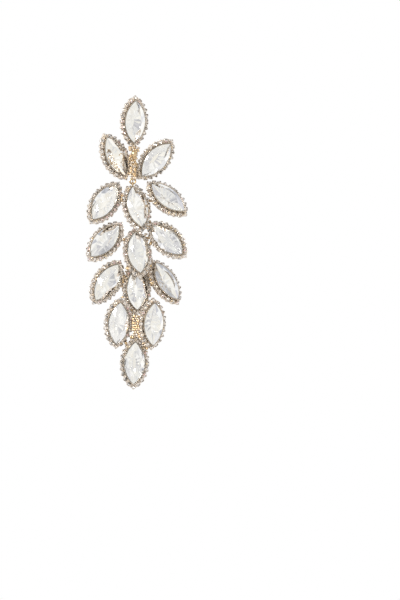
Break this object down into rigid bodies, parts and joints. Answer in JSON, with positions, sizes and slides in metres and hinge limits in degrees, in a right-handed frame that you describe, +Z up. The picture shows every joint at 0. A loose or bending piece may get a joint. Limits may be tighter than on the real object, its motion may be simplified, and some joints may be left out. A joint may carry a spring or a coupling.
{
  "type": "chandelier earring",
  "caption": "Chandelier earring for a pierced ear: a stud of leaf-shaped crystals ringed with small stones, and a long drop of like leaves that swings from a small ring under it.",
  "frame": {"origin": "centre of the back face of the round pad on the stud, where the ear post leaves it", "axes": "+X to the viewer's right, +Y back along the ear post, +Z up; the drop hangs towards -Z"},
  "size_m": [0.0354, 0.0181, 0.103],
  "materials": {
    "crystal": "clear faceted crystal with a silvered back",
    "rhinestone": "small cut champagne stones in dark bronze cups",
    "gold": "old gold plate, slightly grained"
  },
  "bodies": {
    "stud": {"crystal_stud_top": "crystal", "stones_stud_top": "rhinestone", "crystal_stud_left": "crystal", "stones_stud_left": "rhinestone", "crystal_stud_right": "crystal", "stones_stud_right": "rhinestone", "ear_post": "gold", "stud_frame": "gold"},
    "drop": {"crystal_row1_left": "crystal", "stones_row1_left": "rhinestone", "crystal_row1_middle": "crystal", "stones_row1_middle": "rhinestone", "crystal_row1_right": "crystal", "stones_row1_right": "rhinestone", "crystal_row2_left": "crystal", "stones_row2_left": "rhinestone", "crystal_row2_middle": "crystal", "stones_row2_middle": "rhinestone", "crystal_row2_right": "crystal", "stones_row2_right": "rhinestone", "crystal_row3_left": "crystal", "stones_row3_left": "rhinestone", "crystal_row3_middle": "crystal", "stones_row3_middle": "rhinestone", "crystal_row3_right": "crystal", "stones_row3_right": "rhinestone", "crystal_row4_left": "crystal", "stones_row4_left": "rhinestone", "crystal_row4_right": "crystal", "stones_row4_right": "rhinestone", "crystal_bottom": "crystal", "stones_bottom": "rhinestone", "drop_frame": "gold", "neck_ring": "gold"}
  },
  "joints": [
    {"name": "drop_swing", "type": "hinge", "parent": "stud", "child": "drop", "pos_m": [-0.00052, -0.0028, -0.01988], "axis": [1, 0, 0], "range_deg": [-45, 30]}
  ]
}
